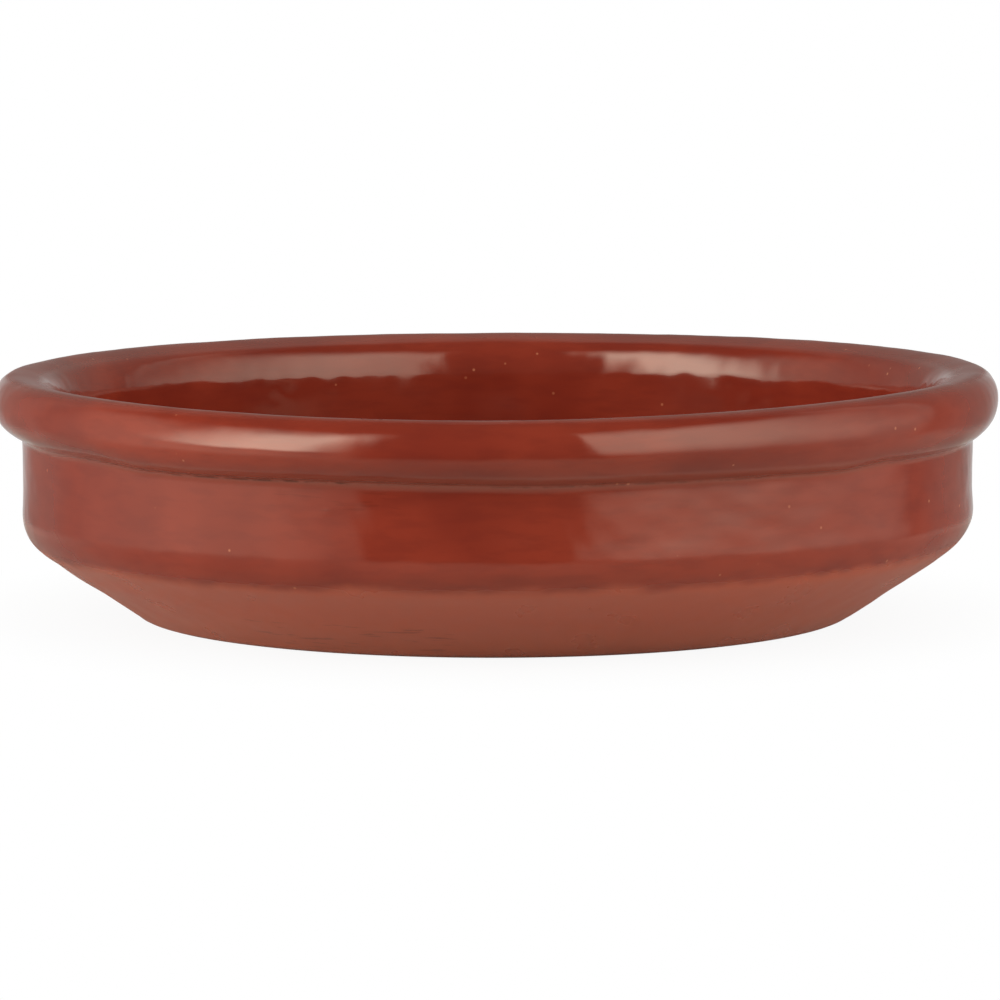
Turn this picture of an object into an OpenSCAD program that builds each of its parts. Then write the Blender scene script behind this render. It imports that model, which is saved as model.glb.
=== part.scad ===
// Cazuela: a low round earthenware dish, thrown and turned as one piece.
// Millimetres, +Z up, the origin at the middle of the flat base.
// The whole dish is one section turned round its axis, drawn from straight lines and
// the circles that they run into.

/* [Overall] */
// Diameter over the widest part of the rolled rim
rim_d = 150; // [120:1:220]
// Height from the base to the crest of the rim
height = 36.5; // [34:0.5:60]

/* [Walls] */
// Thickness of the upright wall
wall_t = 5.8; // [4.6:0.1:7]
// Thickness of the floor at the middle
floor_t = 5.5; // [4.5:0.1:7]
// Angle by which the inside narrows towards the floor
inside_draft = 2; // [1:0.5:6]
// Radius of the hollow between the inside wall and the floor
inside_r = 18; // [15:0.5:20]

/* [Foot and knee] */
// Width of the sloping underside, from the edge of the flat base out to the wall
slope_w = 21; // [17:0.5:24]
// Angle of the sloping underside above the table
slope_a = 34; // [28:1:38]
// Rounding where the sloping underside meets the flat base
foot_r = 8; // [3:0.5:9]
// Rounding of the knee, where the sloping underside meets the wall
knee_r = 7; // [4:0.5:11]

/* [Rolled rim] */
// How far the roll stands out from the wall
roll_out = 4; // [3:0.1:4.6]
// Radius of the roll, round its outside and under it
roll_r = 5.4; // [4.8:0.1:6]
// Smaller radius with which the roll turns over into its crest
crest_r = 2.8; // [1.5:0.1:3.6]
// Angle above the widest line at which the smaller radius takes over
crest_a = 33; // [20:1:60]

/* [Hidden] */
$fn = 180;

// Lines and circles that run into each other overlap by this much, so that they join cleanly
overlap = 0.0005;

rim_r = rim_d / 2;
wall_r = rim_r - roll_out;
base_r = wall_r - slope_w;

// Middle of the roll, and of the smaller turn that touches it from inside
roll_x = rim_r - roll_r;
crest_step = roll_r - crest_r + overlap;
crest_x = roll_x + crest_step * cos(crest_a);
crest_z = height - crest_r;
roll_z = crest_z - crest_step * sin(crest_a);

// The inside of the rim rounds over from the wall to the crest in a quarter turn
lip_r = crest_x - (wall_r - wall_t);
lip_z = height - lip_r - overlap;
lip_line_r = lip_r - overlap;
lip_end_x = crest_x - lip_line_r * cos(inside_draft);
lip_end_z = lip_z + lip_line_r * sin(inside_draft);

// The hollow runs into the flat floor and into the drafted inside wall
hollow_z = floor_t + inside_r;
hollow_line_r = inside_r - overlap;
hollow_end_z = hollow_z - hollow_line_r * sin(inside_draft);
hollow_end_x = lip_end_x - (lip_end_z - hollow_end_z) * tan(inside_draft);
hollow_x = hollow_end_x - hollow_line_r * cos(inside_draft);

// The sloping underside runs from the foot's rounding to the knee's
foot_line_r = foot_r - overlap;
foot_end_x = base_r + foot_line_r * sin(slope_a);
foot_end_z = foot_r - foot_line_r * cos(slope_a);
knee_line_r = knee_r - overlap;
knee_x = wall_r - knee_r;
knee_start_x = knee_x + knee_line_r * sin(slope_a);
knee_start_z = foot_end_z + (knee_start_x - foot_end_x) * tan(slope_a);
knee_z = knee_start_z + knee_line_r * cos(slope_a);

// Outside of the pot below the rim, filled to its axis
module outside() {
    polygon([
        [0, 0],
        [base_r, 0],
        [foot_end_x, foot_end_z],
        [knee_start_x, knee_start_z],
        [knee_x, knee_z],
        [wall_r, knee_z],
        [wall_r, lip_end_z],
        [0, lip_end_z]
    ]);
    translate([base_r, foot_r]) circle(r = foot_r);
    translate([knee_x, knee_z]) circle(r = knee_r);
}

// Space inside the dish, up to where the lip starts to round over
module hollow() {
    polygon([
        [-1, floor_t],
        [hollow_x, floor_t],
        [hollow_x, hollow_z],
        [hollow_end_x, hollow_end_z],
        [lip_end_x, lip_end_z],
        [lip_end_x, height],
        [-1, height]
    ]);
    translate([hollow_x, hollow_z]) circle(r = inside_r);
}

// Outer half of the rim: the roll with the crease under it, and its turn into the crest
module roll() {
    intersection() {
        translate([roll_x, roll_z]) circle(r = roll_r);
        translate([roll_x, roll_z - 2 * roll_r]) square([2 * roll_r, roll_r * (2 + sin(crest_a))]);
    }
    translate([crest_x, crest_z]) circle(r = crest_r);
}

// Inner half of the rim, from the crest down to the wall
module lip() {
    intersection() {
        translate([crest_x, lip_z]) circle(r = lip_r);
        translate([crest_x - 2 * lip_r, lip_z]) square(2 * lip_r);
    }
}

module dish() {
    color([0.5, 0.24, 0.17])
    rotate_extrude() {
        difference() {
            outside();
            hollow();
        }
        roll();
        lip();
    }
}

dish();
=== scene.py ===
# %% [markdown]
# A glazed terracotta cazuela
#
# A cazuela is a low cooking dish. The potter throws it from one lump of red clay, rolls the
# rim over with the fingers, turns the underside to a slope and dips the dish in a clear
# glaze, with the base left bare. It has no handles and no lid, so it is a single piece.
#
# In this lesson the dish is one surface: a section turned round an axis, then pushed in and
# out by fractions of a millimetre, because a hand-made pot is never quite round. Those small
# pushes matter, since a glossy glaze shows them in every reflection.

# %% Load the frame
import math

import bpy
import numpy as np
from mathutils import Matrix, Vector


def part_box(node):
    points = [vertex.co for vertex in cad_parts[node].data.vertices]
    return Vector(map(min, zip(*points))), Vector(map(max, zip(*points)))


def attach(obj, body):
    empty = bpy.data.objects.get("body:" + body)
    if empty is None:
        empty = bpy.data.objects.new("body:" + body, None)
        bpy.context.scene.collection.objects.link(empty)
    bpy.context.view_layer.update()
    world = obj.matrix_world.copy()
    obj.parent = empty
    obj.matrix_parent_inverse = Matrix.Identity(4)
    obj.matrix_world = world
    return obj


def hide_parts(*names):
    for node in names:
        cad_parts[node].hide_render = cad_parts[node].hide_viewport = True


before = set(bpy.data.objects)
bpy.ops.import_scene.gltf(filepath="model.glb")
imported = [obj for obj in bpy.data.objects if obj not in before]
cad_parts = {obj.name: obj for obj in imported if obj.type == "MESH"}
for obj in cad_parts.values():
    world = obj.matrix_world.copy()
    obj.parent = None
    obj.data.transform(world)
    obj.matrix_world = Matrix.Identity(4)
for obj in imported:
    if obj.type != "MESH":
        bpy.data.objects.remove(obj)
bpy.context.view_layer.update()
low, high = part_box("dish")
MM = 0.001
rim_r = (high.x - low.x) / 2 / MM
height = high.z / MM
print(f"The packed dish is {2 * rim_r:.1f} mm across and {height:.1f} mm tall")

# %% [markdown]
# The section
#
# A turned pot is drawn as one half of its outline. Straight lines and circles that run into
# each other smoothly are enough for it: base, foot, slope, knee, wall, crease, roll, crest,
# lip, inside wall, hollow and floor. A drawn curve with a Screw modifier would make a pot as
# well, but a perfect one. Stretches worked out as points keep every size in one place, and
# their points can be moved afterwards. Each stretch has its own spacing of points, which is
# closest where the outline turns quickly, because there the glaze catches the light.

# %% Sizes of the section, in millimetres
# In these names t is a thickness, w a width, r a radius and a an angle
wall_t = 5.8
floor_t = 5.5
inside_draft = math.radians(2)
inside_r = 18.0
slope_w = 21.0
slope_a = math.radians(34)
foot_r = 8.0
knee_r = 7.0
roll_out = 4.0
roll_r = 5.4
crest_r = 2.8
crest_a = math.radians(33)
glaze_pool_r = 1.3

wall_r = rim_r - roll_out
base_r = wall_r - slope_w
print(f"Wall radius {wall_r:.1f} mm, base radius {base_r:.1f} mm")


# %% Lines and arcs as arrays of points
def line(start, end, step):
    """Points (r, z) from start to end: start + t (end - start), with t from 0 to 1."""
    start, end = np.array(start, float), np.array(end, float)
    count = max(2, round(np.linalg.norm(end - start) / step) + 1)
    return start + np.linspace(0, 1, count)[:, None] * (end - start)


def arc(middle, radius, first, last, step):
    """Points (r, z) = middle + radius (cos a, sin a), with the angle a from first to last."""
    count = max(3, round(abs(last - first) * radius / step) + 1)
    a = np.linspace(first, last, count)
    return np.array(middle) + radius * np.stack([np.cos(a), np.sin(a)], axis=1)


# %% The stretches below the rim
quarter = math.pi / 2
foot_end = (base_r + foot_r * math.sin(slope_a), foot_r * (1 - math.cos(slope_a)))
knee_x = wall_r - knee_r
knee_start_x = knee_x + knee_r * math.sin(slope_a)
knee_start_z = foot_end[1] + (knee_start_x - foot_end[0]) * math.tan(slope_a)
knee_z = knee_start_z + knee_r * math.cos(slope_a)

# The roll is a circle, and glaze fills the corner under it with a small hollow curve
roll_x = rim_r - roll_r
crest_x = roll_x + (roll_r - crest_r) * math.cos(crest_a)
roll_z = height - crest_r - (roll_r - crest_r) * math.sin(crest_a)
pool_a = -math.acos((wall_r + glaze_pool_r - roll_x) / (roll_r + glaze_pool_r))
pool_z = roll_z + (roll_r + glaze_pool_r) * math.sin(pool_a)
crease_z = pool_z + glaze_pool_r * math.sin(math.pi + pool_a)

# The last number of each stretch is the distance between its points
stretches = {
    "base": line((0, 0), (base_r, 0), 1.6),
    "foot": arc((base_r, foot_r), foot_r, -quarter, slope_a - quarter, 0.6),
    "slope": line(foot_end, (knee_start_x, knee_start_z), 1.2),
    "knee": arc((knee_x, knee_z), knee_r, slope_a - quarter, 0, 0.6),
    "wall": line((wall_r, knee_z), (wall_r, pool_z), 0.45),
    "crease": arc((wall_r + glaze_pool_r, pool_z), glaze_pool_r, math.pi, math.pi + pool_a, 0.18),
}
print(f"The wall begins at {knee_z:.1f} mm and meets the roll at {crease_z:.1f} mm")

# %% The stretches of the rim and the inside
lip_r = crest_x - (wall_r - wall_t)
lip_z = height - lip_r
lip_end = (crest_x - lip_r * math.cos(inside_draft), lip_z + lip_r * math.sin(inside_draft))
hollow_z = floor_t + inside_r
hollow_end_z = hollow_z - inside_r * math.sin(inside_draft)
hollow_end_x = lip_end[0] - (lip_end[1] - hollow_end_z) * math.tan(inside_draft)
hollow_x = hollow_end_x - inside_r * math.cos(inside_draft)

stretches.update({
    "roll": arc((roll_x, roll_z), roll_r, pool_a, crest_a, 0.42),
    "crest": arc((crest_x, height - crest_r), crest_r, crest_a, quarter, 0.35),
    "lip": arc((crest_x, lip_z), lip_r, quarter, math.pi - inside_draft, 0.5),
    "inside wall": line(lip_end, (hollow_end_x, hollow_end_z), 0.7),
    "hollow": arc((hollow_x, hollow_z), inside_r, -inside_draft, -quarter, 1.2),
    "floor": line((hollow_x, floor_t), (0, floor_t), 3.0),
})
profile = np.concatenate([points[1:] for points in stretches.values()])[:-1]
owner = np.concatenate([[name] * (len(points) - 1) for name, points in stretches.items()])[:-1]
print(f"{len(profile)} rings of points in {len(stretches)} stretches")

# %% [markdown]
# The grid
#
# Each point of the dish has two parameters: the turn round the axis and the distance along
# the section. One grid of the two holds the whole surface, outside and inside. The points
# could be visited one by one in a loop, but sums on whole arrays are quicker to run and
# shorter to read, so everything that follows is worked out on that grid.

# %% Turn, distance along the section, radius and height at each point
AROUND = 480
steps = np.linalg.norm(np.diff(profile, axis=0, prepend=[[0, 0]]), axis=1)
turn = np.linspace(0, math.tau, AROUND, endpoint=False)
T, S = np.meshgrid(turn, np.cumsum(steps), indexing="ij")
R = np.broadcast_to(profile[:, 0], T.shape)
Z = np.broadcast_to(profile[:, 1], T.shape)
inner = np.isin(owner, ["lip", "inside wall", "hollow", "floor"])
outer = ~inner
print(f"{T.size} points, {math.tau * wall_r / AROUND:.2f} mm apart round the wall")

# %% The outward normal of the section, and its tilt above the level
across = np.gradient(profile, axis=0)
across /= np.linalg.norm(across, axis=1)[:, None]
normal_r, normal_z = across[:, 1], -across[:, 0]
tilt = np.degrees(np.arctan2(normal_z, normal_r))

# Degrees round from the front, positive to the right
side = (np.degrees(T) + 270) % 360 - 180
print(f"The grid runs from {side.min():.0f} to {side.max():.0f} degrees")

# %% [markdown]
# Hand-made unevenness
#
# On the real dish the rim tips and bends by a few tenths of a millimetre, the foot sits a
# little off centre, and the fingers and the turning tool leave soft waves. A Displace
# modifier with a noise texture could roughen the dish, but it would treat rim, crease and
# knee alike. So each mark of the hand has a smooth formula of its own here, in millimetres.
# The waves are sums of cosines: with a whole number of them round the pot there is no seam,
# and a seeded generator gives the same pot each time.


# %% Smooth steps, bands and humps
def rise(x, start, end):
    """Smooth step: 0 up to start, 1 from end on, and 3 t^2 - 2 t^3 between them."""
    t = np.clip((x - start) / (end - start), 0, 1)
    return t * t * (3 - 2 * t)


def band(x, first, last, soft):
    """1 from first to last, falling smoothly to 0 within soft outside them."""
    return rise(x, first - soft, first) * (1 - rise(x, last, last + soft))


def hump(x, middle, width):
    """e^(-((x - middle) / width)^2): 1 in the middle, falling smoothly on both sides."""
    return np.exp(-((x - middle) / width) ** 2)


# %% A seamless field of waves
def waves(seed, wide, tall, count=56):
    """Sum of cos(m t + k s + phase), with whole m: about wide by tall millimetres a wave, rms 1."""
    rng = np.random.default_rng(seed)
    spread = 0.7 * math.tau
    m = np.round(rng.normal(0, spread * wall_r / wide, count))
    k = rng.normal(0, spread / tall, count)
    phase = rng.uniform(0, math.tau, count)
    total = np.zeros_like(T)
    for turns, rate, start in zip(m, k, phase):
        total += np.cos(turns * T + rate * S + start)
    return total / math.sqrt(count / 2)


# %% Soft waves of the hand all over, and finer ones of the turning tool outside
hand_wave = 0.028
finger_wave = 0.008
turning_wave = 0.020
tool_wave = 0.009

# They die out towards the table and towards the axis, between these heights and radii
table_fade = (0.0, 2.0)
axis_fade = (4.0, 30.0)
fade = rise(Z, *table_fade) * rise(R, *axis_fade)
thrown = hand_wave * waves(11, wide=60, tall=14) + finger_wave * waves(12, wide=10, tall=5)
push = fade * thrown
shaved = turning_wave * waves(16, wide=15, tall=9) + tool_wave * waves(17, wide=6, tall=4)
push += fade * outer * shaved
print(f"The waves push the skin by up to {np.abs(push).max():.2f} mm")

# %% The wall flares a little towards the crease, by flare e^(-distance / reach)
flare = 0.15
flare_reach = 0.9
push += outer * flare * np.exp(-np.abs(Z - crease_z) / flare_reach)

# Below the crease, at the front, lies a thin bead of glaze
bead_z = crease_z - 0.7
bead_width = 0.4
bead_height = 0.05
bead_sides = (-24, 14, 8)
bead = outer * band(side, *bead_sides) * hump(Z, bead_z, bead_width)
push += bead_height * bead
print(f"The wall flares by {flare} mm, and the bead stands {bead_height} mm proud")

# %% The fingers' small hollows under the lip, inside
finger_hollow = 0.020
under_lip = (28.0, 32.5, 3.0)
scallops = inner * band(Z, *under_lip)
push += finger_hollow * scallops * waves(15, wide=5, tall=7)

# Behind the middle the inner wall stands a little further back, from one height to another
set_back = 0.32
set_back_wide = 10
set_back_from = (20.0, 28.0)
set_back_to = (34.0, 36.3)
from_back = (270 - np.degrees(T)) % 360 - 180
upright = inner * rise(Z, *set_back_from) * (1 - rise(Z, *set_back_to))
push -= set_back * upright * hump(from_back, 0, set_back_wide)
print(f"Inside, the wall is set back by {set_back} mm behind the middle")

# %% The throwing spiral on the floor: cos(2 pi s / pitch + t), one turn of it for each pitch
spiral_pitch = 8.5
spiral_height = 0.09
# It begins at these radii, and ends at these heights up the hollow
spiral_from = (6.0, 14.0)
spiral_to = (9.0, 20.0)
spiral = inner * rise(R, *spiral_from) * (1 - rise(Z, *spiral_to))
push += spiral_height * spiral * np.cos(math.tau * S / spiral_pitch + T)
print(f"The spiral has a ridge every {spiral_pitch} mm")

# %% The roll leans at the front, where the fingers closed it
lean_depth = 0.30
lean_side = -20
roll_tilt = 5
roll_half = 80

# Its upper half moves in and its lower half out, most of all a little left of the front
facing = np.maximum(0, np.cos(np.radians(side - lean_side))) ** 6
on_roll = outer & (profile[:, 1] > crease_z) & (np.abs(tilt - roll_tilt) < roll_half)
lean = np.where(on_roll, -lean_depth * np.sin(math.pi * (tilt - roll_tilt) / roll_half), 0)
push += facing * lean
print(f"The lean is up to {np.abs(lean).max():.2f} mm")

# %% On both sides of the front the roll is a little fuller below its middle
fuller_roll = 0.13
fuller_tilt = -14
fuller_wide = 14
fuller_right = (14, 42, 12)
fuller_left = (-34, -18, 8)
left_share = 0.5
sides = band(side, *fuller_right) + left_share * band(side, *fuller_left)
push += fuller_roll * sides * on_roll * hump(tilt, fuller_tilt, fuller_wide)
print(f"The roll is fuller by {fuller_roll} mm at the right of the front, and half of it at the left")

# %% Small lumps of glaze that ran down under the crease, left of the front
lump_height = 0.06
lump_sides = (-26, -12, 3)
lump_heights = (22.6, 24.0, 0.8)
runs = outer * band(side, *lump_sides) * band(Z, *lump_heights)
lumps = lump_height * runs * np.maximum(0, waves(14, wide=5, tall=2.5))
push += lumps
print(f"The lumps stand up to {lumps.max():.2f} mm proud")

# %% Where the rim, the body, the knee, the foot and the edge of the base are
# Each gives way to the next between two heights
base_edge_to_foot = (0.1, 1.1)
foot_to_knee = (5.0, 10.0)
knee_to_body = (14.0, 20.0)
body_to_rim = (25.5, 29.5)
inside_to_rim = (6.0, 33.0)
rim = np.where(outer, rise(Z, *body_to_rim), rise(Z, *inside_to_rim))
body = (1 - rim) * rise(Z, *knee_to_body)
knee = outer * rise(Z, *foot_to_knee) * (1 - rise(Z, *knee_to_body))
foot = outer * (1 - rise(Z, *foot_to_knee))
base_edge = outer * (1 - rise(Z, *base_edge_to_foot))

# 1 at the right end and -1 at the left, and then 1 at both ends and -1 at front and back
ends, oval = np.cos(T), np.cos(2 * T)
print(f"{np.count_nonzero(rim[0])} rings move with the rim, in part or whole")


# %% How far they stand from a true circle
def unround(outwards, rightwards, longer):
    """outwards + rightwards cos t + longer cos 2t: out all round, to the right, and out at both ends."""
    return outwards + rightwards * ends + longer * oval


knee_right = 0.11
edge_out = 0.5
edge_out_left = 0.4
out = rim * unround(-0.02, -0.19, -0.18)
out += body * unround(-0.12, 0.05, -0.13)
out += knee * knee_right * ends
out += base_edge * (edge_out - edge_out_left * np.minimum(ends, 0))

# Less and less of it towards the axis, between two radii; the foot is moved to the left as well
round_to_unround = (30.0, 60.0)
out *= rise(R, *round_to_unround)
foot_off = -0.41
print(f"Out of round by up to {np.abs(out).max():.2f} mm, foot {-foot_off} mm off centre")

# %% The slope is fuller at the left, just below the knee
fuller_slope = 0.30
fuller_slope_z = 7.8
fuller_slope_tall = 1.9
leftwards = (0.5, 0.95)
push += outer * fuller_slope * rise(-ends, *leftwards) * hump(Z, fuller_slope_z, fuller_slope_tall)
print(f"The slope is fuller by {fuller_slope} mm at a height of {fuller_slope_z} mm")

# %% How far the rim rises and dips
# Heights between which the outside and the inside begin to follow the crest
outside_follows = (27.0, 34.5)
inside_follows = (12.0, 36.0)
crest = np.where(outer, rise(Z, *outside_follows), rise(Z, *inside_follows))
rim_up = -0.25
rim_up_right = 0.37
rim_up_front = 0.10
rim_up_ends = 0.25
lift = crest * (rim_up + rim_up_right * ends - rim_up_front * np.sin(T) + rim_up_ends * oval)

# Three waves a turn, strongest at the front and gone at the back
rim_wave = 0.25
front = np.radians(side)
lift -= crest * rim_wave * np.cos(3 * front) * (1 + np.cos(front)) / 2
print(f"The rim moves by {lift.min():.2f} to {lift.max():.2f} mm")

# %% The knee is higher at the right end than at the left
knee_up_right = 0.62
knee_middle = 13
knee_tall = 4
knee_radii = (55.0, 66.0)
lift += outer * knee_up_right * ends * hump(Z, knee_middle, knee_tall) * rise(R, *knee_radii)

# The crease stands a little high round the back, and sags in a soft wave across the front
crease_up = 0.30
crease_sag = 0.45
crease_tall = 1.8
front_sides = (-44, 42)
sag_soft = 10
sag_wave = 0.10
sag_wave_wide = 44
sag_wave_side = -19
sag = crease_sag - sag_wave * np.cos(math.tau * (side - sag_wave_side) / sag_wave_wide)
wander = crease_up - band(side, *front_sides, sag_soft) * sag
lift += outer * wander * hump(Z, crease_z, crease_tall)
print(f"The crease wanders from {wander.min():.2f} to {wander.max():.2f} mm")

# %% Inside, the wall stays upright longer than a plain arc, and turns over into a flat lip
lip_up = 0.65
lip_rises = (28.0, 34.2)
lip_turns = (34.2, 36.5)
lift += inner * lip_up * rise(Z, *lip_rises) * (1 - rise(Z, *lip_turns))

# The turning tool's shallow grooves in the base, which never reach below it
groove_pitch = 6.4
groove_half = 0.05
grooves_end = (44, 49)
grooves = (owner == "base") * groove_half * (1 - np.cos(math.tau * R / groove_pitch))
lift += grooves * (1 - rise(R, *grooves_end))
print(f"The lip rises by up to {lip_up} mm, and the grooves are {2 * groove_half} mm deep")

# %% The finished places of the points
radius = R + out + push * normal_r
X = radius * np.cos(T) + foot_off * foot
Y = radius * np.sin(T)
H = Z + push * normal_z + lift
print(f"The finished dish is {H.max():.2f} mm tall")

# %% [markdown]
# One closed surface
#
# The points are rings that follow each other from the middle of the base up the outside,
# over the rim and down to the middle of the floor. Spin would turn an outline into such rings
# as well, but it leaves doubled points at the seam and at the axis, which then have to be
# merged. Here the last column of faces leads back to the first points, and a fan of triangles
# closes each end, so that the skin is whole and every face points outwards.


# %% One closed mesh
def turned_mesh(name, x, y, z, low_pole, high_pole):
    """Rings joined by quads, with a fan of triangles to a point at each end, facing outwards."""
    around, rings = x.shape
    points = np.stack([x, y, z], axis=-1).reshape(-1, 3)
    points = np.concatenate([points, [low_pole, high_pole]]) * MM
    index = np.arange(around * rings).reshape(around, rings)
    onward = np.roll(index, -1, axis=0)
    quads = np.stack([index[:, :-1], onward[:, :-1], onward[:, 1:], index[:, 1:]], axis=-1)
    bottom = np.stack([np.full(around, around * rings), onward[:, 0], index[:, 0]], axis=-1)
    top = np.stack([index[:, -1], onward[:, -1], np.full(around, around * rings + 1)], axis=-1)
    faces = quads.reshape(-1, 4).tolist() + bottom.tolist() + top.tolist()
    mesh = bpy.data.meshes.new(name)
    mesh.from_pydata(points.tolist(), [], faces)
    mesh.shade_smooth()
    piece = bpy.data.objects.new(name, mesh)
    bpy.context.scene.collection.objects.link(piece)
    return piece


dish = turned_mesh("glazed_dish", X, Y, H, (foot_off, 0, 0), (0, 0, floor_t))
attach(dish, "root")
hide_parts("dish")
triangles = sum(len(face.vertices) - 2 for face in dish.data.polygons)
print(f"{dish.name}: {len(dish.data.vertices)} points, {triangles} triangles")

# %% [markdown]
# Numbers for the glaze
#
# The glaze changes along the section: it is thin under the knee, dark in the crease and ends
# above the base. A painted picture could say where, but a number kept at each point needs no
# file and no unwrapping. So each point keeps its distance along the section, and four shares:
# how far the crease is cracked there, how far the potter's tool has marked the clay, how much
# painted light lifts the shade of the crease, and how thin and satin the glaze is elsewhere.


# %% Keep a number at each point
def store(name, values, poles=(0, 0)):
    """Keeps one number for each point of the dish, and one for each of its two poles."""
    attribute = dish.data.attributes.new(name, "FLOAT", "POINT")
    attribute.data.foreach_set("value", np.append(values.ravel(), poles).astype(np.float32))
    print(f"{name}: {values.min():.2f} to {values.max():.2f}")


store("along", S, (0, S[0, -1]))

# %% The crease is a little cracked all round, and more at the left and right of the front
cracked_round = 0.10
cracked_left = 0.65
cracked_right = 0.25
left_crack = (-38, -16, 4)
right_crack = (2, 32, 4)
cracked = cracked_round + cracked_left * band(side, *left_crack) + cracked_right * band(side, *right_crack)
store("cracked", cracked)

# %% The tool has marked the clay left of the front, faintly on the wall and more on the foot
faint_mark = 0.5
wall_mark_heights = (23.0, 25.4, 0.6)
foot_mark_sides = (-34, -8, 4)
foot_mark_heights = (1.8, 5.0, 1.0)
marked = faint_mark * band(side, *lump_sides) * band(Z, *wall_mark_heights)
marked += band(side, *foot_mark_sides) * band(Z, *foot_mark_heights)
store("marked", outer * marked)

# %% The crease is painted a little lighter all round, and much more across the front, to lift its shade
crease_lightening_round = 0.25
crease_lightening_front = 0.70
crease_lightening_soft = 18
store("crease_lightening", crease_lightening_round + crease_lightening_front * band(side, *front_sides, crease_lightening_soft))

# %% Where the stretches end, along the section
ends_at = {name: S[0, np.flatnonzero(owner == name)[-1]] for name in stretches}
bare_edge = ends_at["base"] + 0.7
thin_edge = ends_at["slope"] + 1.8
crack_at = ends_at["crease"] - 0.7
pool_at = ends_at["crease"] + 0.3
print(f"Bare up to {bare_edge:.1f}, thin up to {thin_edge:.1f}, cracked at {crack_at:.1f} mm")

# %% Where the glaze is thin and satin: on the crest, and all over the sloping underside
crest_heights = (30, 33)
crest_tilts = (72, 115, 24)
satin_fade = 3.0
crest_share = rise(Z, *crest_heights) * band(tilt, *crest_tilts)
slope_share = 1 - rise(S, thin_edge, thin_edge + satin_fade)
store("satin", crest_share + slope_share, (1, 0))

# %% [markdown]
# Materials
#
# The finish of a pot is a clay body, a coat of glaze and the small marks in both. They could
# be photographed and wrapped round the mesh, but patterns made by nodes stay sharp at any
# distance and have no seam. A node is added with its settings and links in one call, so that
# each material reads like a list of what it is made of. Colours are written as sRGB hex
# codes and turned to linear.


# %% Colours
def colour(code):
    """An sRGB hex colour as linear red, green, blue and alpha."""
    parts = np.array([int(code[i:i + 2], 16) for i in (1, 3, 5)]) / 255
    linear = np.where(parts <= 0.04045, parts / 12.92, ((parts + 0.055) / 1.055) ** 2.4)
    return (*linear.tolist(), 1.0)


# %% Nodes
def add(tree, kind, settings=None, **inputs):
    """Adds one node with its settings, and gives its inputs values or links.

    An input goes by its name, with _ for a space, or by i and its number. A node given as an
    input is linked by its first output that is in use.
    """
    node = tree.nodes.new("ShaderNode" + kind)
    for key, value in (settings or {}).items():
        setattr(node, key, value)
    for key, value in inputs.items():
        socket = node.inputs[int(key[1:]) if key[1:].isdigit() else key.replace("_", " ")]
        if isinstance(value, bpy.types.Node):
            value = next(output for output in value.outputs if output.enabled)
        if isinstance(value, bpy.types.NodeSocket):
            tree.links.new(value, socket)
        else:
            socket.default_value = value
    return node


# %% Settings that several nodes share
SOFT = {"interpolation_type": "SMOOTHSTEP"}
COLOURS = {"data_type": "RGBA"}
TIMES = {"operation": "MULTIPLY"}
PLUS = {"operation": "ADD"}
TIMES_PLUS = {"operation": "MULTIPLY_ADD"}
MINUS = {"operation": "SUBTRACT"}
UNSIGNED = {"operation": "ABSOLUTE"}
LARGER = {"operation": "MAXIMUM"}


# %% An empty material
def empty_material(name):
    """A material whose node tree is still empty, and that tree."""
    material = bpy.data.materials.new(name)
    material.use_nodes = True
    material.node_tree.nodes.clear()
    return material, material.node_tree


# %% [markdown]
# Clear glaze on terracotta
#
# Red earthenware is fired, dipped in a clear glaze and fired again. The glaze is a smooth
# glass coat: it deepens the red of the clay and gives sharp, bright reflections with
# slightly wavy edges. It could be a second skin of glass round the clay, but a coat this thin
# looks the same as a shader with the glaze's own reflection over the colour of the clay.
# Glazes of this kind are a little denser than window glass, so the IOR is 1.6. The coat is
# thin on the sloping underside, where the lighter clay shows, and it stops short of the flat
# base, which stays bare and matt.

# %% The colour of the glazed clay, with the sizes of its patterns in millimetres
cloud_size = 26
streak_size = 6
thin_edge_size = 9
thin_edge_play = 4.0
flat_streaks = (1, 1, 4)


def glazed_clay_tone(tree, place, along):
    """Clouds of red with darker streaks along the wheel, paler on the slope, and painted lighter towards
    the foot to lift the shade near the table.
    """
    clouds = add(tree, "TexNoise", Vector=place, Scale=1 / (cloud_size * MM), Detail=3.0)
    share = add(tree, "MapRange", SOFT, Value=clouds, From_Min=0.35, From_Max=0.65)
    tone = add(tree, "Mix", COLOURS, i0=share, i6=colour("#77291C"), i7=colour("#863222"))
    level = add(tree, "VectorMath", TIMES, i0=place, i1=flat_streaks)
    streaks = add(tree, "TexNoise", Vector=level, Scale=1 / (streak_size * MM), Detail=4.0)
    share = add(tree, "MapRange", SOFT, Value=streaks, From_Min=0.4, From_Max=0.7, To_Max=0.3)
    tone = add(tree, "Mix", COLOURS, i0=share, i6=tone, i7=colour("#66221A"))

    uneven = add(tree, "TexNoise", Vector=place, Scale=1 / (thin_edge_size * MM), Detail=3.0)
    ragged = add(tree, "Math", TIMES_PLUS, i0=uneven, i1=thin_edge_play, i2=along)
    thin = add(tree, "MapRange", SOFT, Value=ragged, From_Min=thin_edge + 3.2,
               From_Max=thin_edge + 0.8, To_Max=0.85)
    tone = add(tree, "Mix", COLOURS, i0=thin, i6=tone, i7=colour("#AE543B"))
    # Painted light: towards the foot the tone is lightened against the shade near the table
    foot_lightening = add(tree, "MapRange", SOFT, Value=along, From_Min=ends_at["slope"] - 5.0,
                From_Max=ends_at["foot"], To_Max=0.16)
    return add(tree, "Mix", COLOURS, i0=foot_lightening, i6=tone, i7=colour("#CC8A6C"))


# %% Painted light that lifts the shade of the crease, and a crack in it
break_size = 2.2


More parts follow.
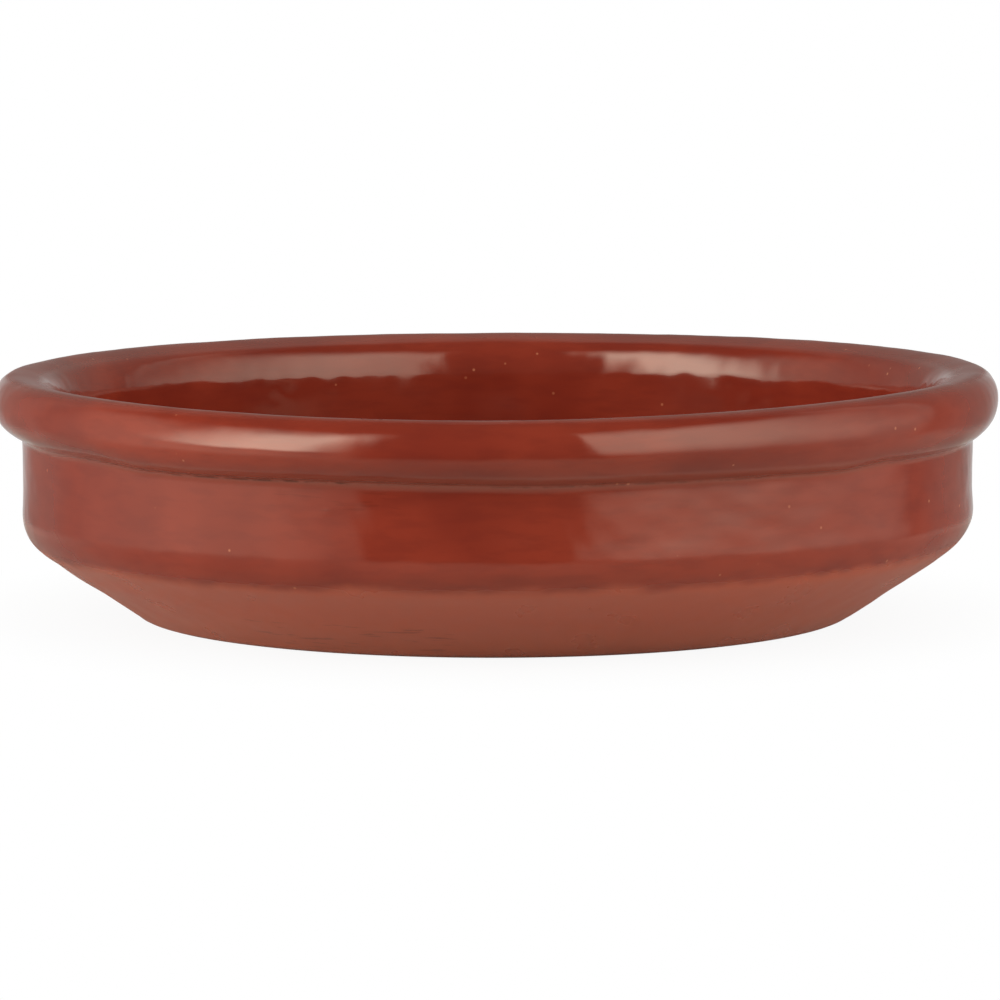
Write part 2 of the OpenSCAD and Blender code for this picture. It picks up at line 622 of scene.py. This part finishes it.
def creased_tone(tree, tone, place, along):
    """The tone, painted lighter within 2 mm of the crease to lift its shade, with a fine dark crack that
    breaks off at times.
    """
    offset = add(tree, "Math", MINUS, i0=along, i1=pool_at)
    offset = add(tree, "Math", UNSIGNED, i0=offset)
    crease_lightening = add(tree, "Attribute", {"attribute_name": "crease_lightening"}).outputs["Fac"]
    lifted = add(tree, "MapRange", SOFT, Value=offset, From_Min=2.2, From_Max=0.9, To_Max=crease_lightening)
    # Painted light: a paler tone over the crease, where the shade of the crease falls
    tone = add(tree, "Mix", COLOURS, i0=lifted, i6=tone, i7=colour("#8A4638"))
    offset = add(tree, "Math", MINUS, i0=along, i1=crack_at)
    offset = add(tree, "Math", UNSIGNED, i0=offset)
    cracked = add(tree, "Attribute", {"attribute_name": "cracked"}).outputs["Fac"]
    crack = add(tree, "MapRange", SOFT, Value=offset, From_Min=0.34, From_Max=0.05, To_Max=cracked)
    breaks = add(tree, "TexNoise", Vector=place, Scale=1 / (break_size * MM), Detail=2.0)
    crack = add(tree, "MapRange", SOFT, Value=breaks, From_Min=0.40, From_Max=0.62, To_Max=crack)
    return add(tree, "Mix", COLOURS, i0=crack, i6=tone, i7=colour("#46190F"))


# %% Marks of the tool, and small pale specks
stroke_size = 5
stroke_strength = 0.4
flat_strokes = (1, 1, 12)
speck_gap = 3


def marked_tone(tree, tone, place):
    """The tone with flat dark strokes where the tool dragged, and a pale speck here and there."""
    level = add(tree, "VectorMath", TIMES, i0=place, i1=flat_strokes)
    strokes = add(tree, "TexNoise", Vector=level, Scale=1 / (stroke_size * MM), Detail=2.0)
    marks = add(tree, "Attribute", {"attribute_name": "marked"}).outputs["Fac"]
    marks = add(tree, "Math", TIMES, i0=marks, i1=stroke_strength)
    stroke = add(tree, "MapRange", SOFT, Value=strokes, From_Min=0.58, From_Max=0.66, To_Max=marks)
    tone = add(tree, "Mix", COLOURS, i0=stroke, i6=tone, i7=colour("#4A1C12"))

    cells = add(tree, "TexVoronoi", Vector=place, Scale=1 / (speck_gap * MM))
    rare = add(tree, "MapRange", SOFT, Value=cells.outputs["Color"], From_Min=0.66, From_Max=0.74)
    speck = add(tree, "MapRange", SOFT, Value=cells.outputs["Distance"], From_Min=0.10,
                From_Max=0.04, To_Max=rare)
    return add(tree, "Mix", COLOURS, i0=speck, i6=tone, i7=colour("#A9654A"))


# %% Bare clay on the base, with the sizes of its patterns in millimetres
bare_edge_size = 4
bare_edge_play = 1.5
ring_gap = 1.3


def bare_clay(tree, tone, place, along):
    """The tone with bare clay below, the share of bare clay, and the rings of the turning tool."""
    # The glaze ends in an uneven line above the base
    uneven = add(tree, "TexNoise", Vector=place, Scale=1 / (bare_edge_size * MM), Detail=2.0)
    ragged = add(tree, "Math", TIMES_PLUS, i0=uneven, i1=bare_edge_play, i2=along)
    bare = add(tree, "MapRange", SOFT, Value=ragged, From_Min=bare_edge + 0.95,
               From_Max=bare_edge + 0.6)
    rings = add(tree, "TexNoise", {"noise_dimensions": "1D"}, W=along, Scale=1 / ring_gap, Detail=2.0)
    clay = add(tree, "Mix", COLOURS, i0=rings, i6=colour("#A05A40"), i7=colour("#C4795A"))
    return add(tree, "Mix", COLOURS, i0=bare, i6=tone, i7=clay), bare, rings


# %% Ripples of the glaze and grain of the clay, in millimetres
# The peel and the grain are finer on a real dish, and are drawn as coarse as they need to show
ripple_size = 4.5
ripple_height = 0.035
peel_size = 0.9
peel_height = 0.004
grain_height = 0.03
ring_height = 0.08


def relief_of(tree, place, bare, rings):
    """Soft ripples and a fine peel in the glaze, and the rings and the grain of the bare clay."""
    ripple = add(tree, "TexNoise", Vector=place, Scale=1 / (ripple_size * MM), Detail=1.0)
    ripple = add(tree, "Math", TIMES, i0=ripple, i1=ripple_height)
    peel = add(tree, "TexNoise", Vector=place, Scale=1 / (peel_size * MM), Detail=2.0)
    ring_relief = add(tree, "Math", TIMES, i0=bare, i1=ring_height)
    grain = add(tree, "Math", TIMES_PLUS, i0=bare, i1=grain_height, i2=peel_height)
    relief = add(tree, "Math", TIMES_PLUS, i0=peel, i1=grain, i2=ripple)
    relief = add(tree, "Math", TIMES_PLUS, i0=rings, i1=ring_relief, i2=relief)
    return add(tree, "Bump", Height=relief, Strength=1.0, Distance=MM)


# %% Clear glaze on terracotta, with what bare clay and satin glaze add to its roughness
patch_size = 9
bare_roughness = 0.7
satin_roughness = 0.2


def clear_glaze_on_terracotta():
    """Glazed clay above, glossy with duller patches, and bare matt clay below."""
    material, tree = empty_material("clear_glaze_on_terracotta")
    place = add(tree, "TexCoord").outputs["Object"]
    along = add(tree, "Attribute", {"attribute_name": "along"}).outputs["Fac"]
    tone = glazed_clay_tone(tree, place, along)
    tone = creased_tone(tree, tone, place, along)
    tone = marked_tone(tree, tone, place)
    tone, bare, rings = bare_clay(tree, tone, place, along)
    bump = relief_of(tree, place, bare, rings)

    patches = add(tree, "TexNoise", Vector=place, Scale=1 / (patch_size * MM), Detail=3.0)
    rough = add(tree, "MapRange", SOFT, Value=patches, From_Min=0.3, From_Max=0.7,
                To_Min=0.07, To_Max=0.11)
    rough = add(tree, "Math", TIMES_PLUS, i0=bare, i1=bare_roughness, i2=rough)
    satin = add(tree, "Attribute", {"attribute_name": "satin"}).outputs["Fac"]
    rough = add(tree, "Math", TIMES_PLUS, i0=satin, i1=satin_roughness, i2=rough)
    shader = add(tree, "BsdfPrincipled", Base_Color=tone, Roughness=rough, IOR=1.6,
                 Specular_Tint=colour("#FFF1E3"), Normal=bump)
    add(tree, "OutputMaterial", Surface=shader)
    return material


dish.data.materials.append(clear_glaze_on_terracotta())
print(f"{dish.name} wears {dish.data.materials[0].name}")

# %% [markdown]
# The table
#
# A small round table, painted white, carries the dish and takes its shadow. An endless white
# floor would do so too, but the glaze would mirror all of it. Away from the dish the camera
# sees the paint pure white, so that it runs into the white background. The glaze sees the
# same white on the part behind the dish, and the plain paint in front. The edge of the table
# fades out, so that it draws no hard line in the glaze.

# %% Sizes of the table, in metres
table_r = 0.18
# A tenth of a millimetre below the base, so that the two never lie in one plane
table_z = -0.0001
# How white the camera sees it near the middle, and where it becomes pure white
near_white = 0.92
white_from = 0.045
white_to = 0.092
# Where the part that the glaze sees white begins, and where the paint starts to fade out
behind_from = 0.14
fading_from = 0.11
print(f"The table is {2 * table_r:.2f} m across, and pure white from {white_to} m on")


# %% White painted table
def white_painted_table():
    """Matt white paint that becomes pure white, and then clear, with the distance."""
    material, tree = empty_material("matt_white_paint")
    place = add(tree, "TexCoord").outputs["Object"]
    reach = add(tree, "VectorMath", {"operation": "LENGTH"}, i0=place).outputs["Value"]
    depth = add(tree, "SeparateXYZ", Vector=place).outputs["Y"]
    behind = add(tree, "MapRange", SOFT, Value=depth, From_Min=behind_from, From_Max=table_r)
    rays = add(tree, "LightPath").outputs
    glossy = add(tree, "Math", TIMES, i0=rays["Is Glossy Ray"], i1=behind)
    seen = add(tree, "Math", LARGER, i0=rays["Is Camera Ray"], i1=glossy)
    seen = add(tree, "Math", LARGER, i0=rays["Is Transmission Ray"], i1=seen)
    far = add(tree, "MapRange", SOFT, Value=reach, From_Min=white_from, From_Max=white_to,
              To_Min=near_white)
    share = add(tree, "Math", TIMES, i0=far, i1=seen)
    paint = add(tree, "BsdfDiffuse", Color=colour("#D3D1CE"))
    white = add(tree, "Emission", Color=colour("#FFFFFF"), Strength=1.0)
    both = add(tree, "MixShader", i0=share, i1=paint, i2=white)
    fading = add(tree, "MapRange", SOFT, Value=reach, From_Min=fading_from, From_Max=table_r)
    clear = add(tree, "BsdfTransparent")
    whole = add(tree, "MixShader", i0=fading, i1=both, i2=clear)
    add(tree, "OutputMaterial", Surface=whole)
    return material


# %% The table top, one flat round face
TABLE_AROUND = 128
angles = np.linspace(0, math.tau, TABLE_AROUND, endpoint=False)
edge_x, edge_y = table_r * np.cos(angles), table_r * np.sin(angles)
edge_points = np.stack([edge_x, edge_y, np.full_like(angles, table_z)], axis=1)
table_mesh = bpy.data.meshes.new("table_top")
table_mesh.from_pydata(edge_points.tolist(), [], [tuple(range(len(edge_points)))])
table = bpy.data.objects.new("table_top", table_mesh)
bpy.context.scene.collection.objects.link(table)
table_mesh.materials.append(white_painted_table())
print(f"{table.name}: {len(edge_points)} points round its edge")

# %% [markdown]
# Studio light
#
# A glossy dish is lit by what it mirrors. Large soft panels stand round the table: a bright
# softbox at front left with its spill on a white wall, a broad panel at the right, a dim back
# wall, and a dark gap at the front, which the glaze shows as a dark window. They could be
# area lamps, but painted on the world by direction, each panel has edges as soft as it needs.
# Two lamps at the sides add soft light that the glaze doesn't mirror.

# %% Panels by azimuth, 0 towards the camera and positive to the right, and by elevation
PANELS = {
    # In degrees: where it begins and is full, where it fades and ends, and the same upwards.
    # Then its level, and how many degrees its sides lean to the right for each degree upwards
    "softbox": ((-92, -58), (-50, -33), (-2, 9), (41, 59), 5.0, 0.13),
    "left wall": ((-150, -70), (-35, -29), (-45, -30), (30, 50), 0.45, 0.0),
    "far left wall": ((-150, -70), (-58, -33), (-45, -30), (30, 50), 0.55, 0.0),
    "right panel": ((18, 23), (46, 116), (-18, 14), (42, 62), 2.2, 0.0),
    "right end": ((60, 90), (113, 120), (-14, 20), (42, 62), 0.4, 0.25),
    "right glow": ((24, 46), (60, 110), (0, 24), (40, 60), 0.4, 0.0),
    "right wall": ((19, 42), (104, 122), (-45, -30), (0, 20), 0.5, 0.0),
    "back wall": ((106, 132), (223, 238), (-40, -30), (50, 70), 0.18, 0.0),
    "back light": ((150, 170), (190, 210), (30, 45), (60, 75), 0.14, 0.0),
}
# The part of the white background that the glaze mirrors, given in the same way
BACKGROUND = ((150, 172), (188, 210), (-25, -15), (0, 16), 0.4, 0.0)
# A little light from all sides, and the warm colour of all of it, in linear shares
EVERYWHERE = 0.10
WARM = (1.0, 0.94, 0.85, 1)
print(f"{len(PANELS)} panels of light")


# %% A studio as a world
def studio():
    """Sums the panels by direction; camera rays, and mirrored rays to the back, see white."""
    world = bpy.data.worlds.new("studio")
    bpy.context.scene.world = world
    world.use_nodes = True
    tree = world.node_tree
    tree.nodes.clear()

    look = add(tree, "SeparateXYZ", Vector=add(tree, "TexCoord").outputs["Generated"]).outputs
    ahead = add(tree, "Math", TIMES, i0=look["Y"], i1=-1.0)
    azimuth = add(tree, "Math", {"operation": "ARCTAN2"}, i0=look["X"], i1=ahead)
    azimuth = add(tree, "Math", {"operation": "DEGREES"}, i0=azimuth)
    round_back = add(tree, "Math", {"operation": "WRAP"}, i0=azimuth, i1=360.0, i2=0.0)
    elevation = add(tree, "Math", {"operation": "ARCSINE"}, i0=look["Z"])
    elevation = add(tree, "Math", {"operation": "DEGREES"}, i0=elevation)

    levels = []
    for left, right, bottom, top, level, leaning in [*PANELS.values(), BACKGROUND]:
        # A panel that reaches past the back is measured from 0 to 360 degrees
        angle = round_back if right[1] > 180 else azimuth
        angle = add(tree, "Math", TIMES_PLUS, i0=elevation, i1=-leaning, i2=angle)
        fades = ((angle, left), (angle, right[::-1]), (elevation, bottom), (elevation, top[::-1]))
        for value, (none, full) in fades:
            level = add(tree, "MapRange", SOFT, Value=value, From_Min=none, From_Max=full, To_Max=level)
        levels.append(level)
    *panels, background = levels
    total = EVERYWHERE
    for panel in panels:
        total = add(tree, "Math", PLUS, i0=total, i1=panel)

    rays = add(tree, "LightPath").outputs
    glossy = add(tree, "Math", TIMES, i0=rays["Is Glossy Ray"], i1=background)
    seen = add(tree, "Math", LARGER, i0=rays["Is Camera Ray"], i1=glossy)
    seen = add(tree, "Math", LARGER, i0=rays["Is Transmission Ray"], i1=seen)
    lit = add(tree, "Background", Color=WARM, Strength=total)
    white = add(tree, "Background", Color=colour("#FFFFFF"), Strength=1.0)
    both = add(tree, "MixShader", i0=seen, i1=lit, i2=white)
    add(tree, "OutputWorld", Surface=both)
    print(f"The studio has {len(tree.nodes)} nodes")


studio()

# %% Two soft lamps at the sides
SIDE_LAMPS = {
    # Azimuth and elevation in degrees, and power in watts
    "left_lamp": (-80, 4, 2.1),
    "right_lamp": (85, 4, 2.2),
}
lamp_distance = 0.8
lamp_width = 0.3
for name, (turned, raised, watts) in SIDE_LAMPS.items():
    turned, raised = math.radians(turned), math.radians(raised)
    towards = Vector((math.cos(raised) * math.sin(turned), -math.cos(raised) * math.cos(turned),
                      math.sin(raised)))
    light = bpy.data.lights.new(name, "AREA")
    light.size = lamp_width
    light.energy = watts
    lamp = bpy.data.objects.new(name, light)
    lamp.location = lamp_distance * towards
    lamp.rotation_euler = towards.to_track_quat("Z", "Y").to_euler()
    lamp.visible_glossy = False
    lamp.visible_camera = False
    bpy.context.scene.collection.objects.link(lamp)
    print(f"{name}: {watts} W")

# %% [markdown]
# Camera
#
# The camera is about a metre away and six degrees above the table, so that a sliver of the
# inside shows behind the rim. From closer by, the near side of the rim would look too large.
# The lens could be found by trying, but here it follows from the width of the picture at the
# dish, which is a size that can be measured.

# %% Place the camera
camera_distance = 0.959
camera_raise = math.radians(6.32)
picture_width = 0.1496
sensor_width = 36
aim = Vector((0.000426, 0, 0.01691))
lens = bpy.data.cameras.new("camera")
lens.sensor_width = sensor_width
lens.lens = sensor_width * camera_distance / picture_width
camera = bpy.data.objects.new("camera", lens)
camera.location = aim + camera_distance * Vector((0, -math.cos(camera_raise), math.sin(camera_raise)))
camera.rotation_euler = (quarter - camera_raise, 0, 0)
bpy.context.scene.collection.objects.link(camera)
bpy.context.scene.camera = camera
bpy.context.scene.view_settings.view_transform = "Standard"
print(f"A {lens.lens:.0f} mm lens at {camera_distance} m")
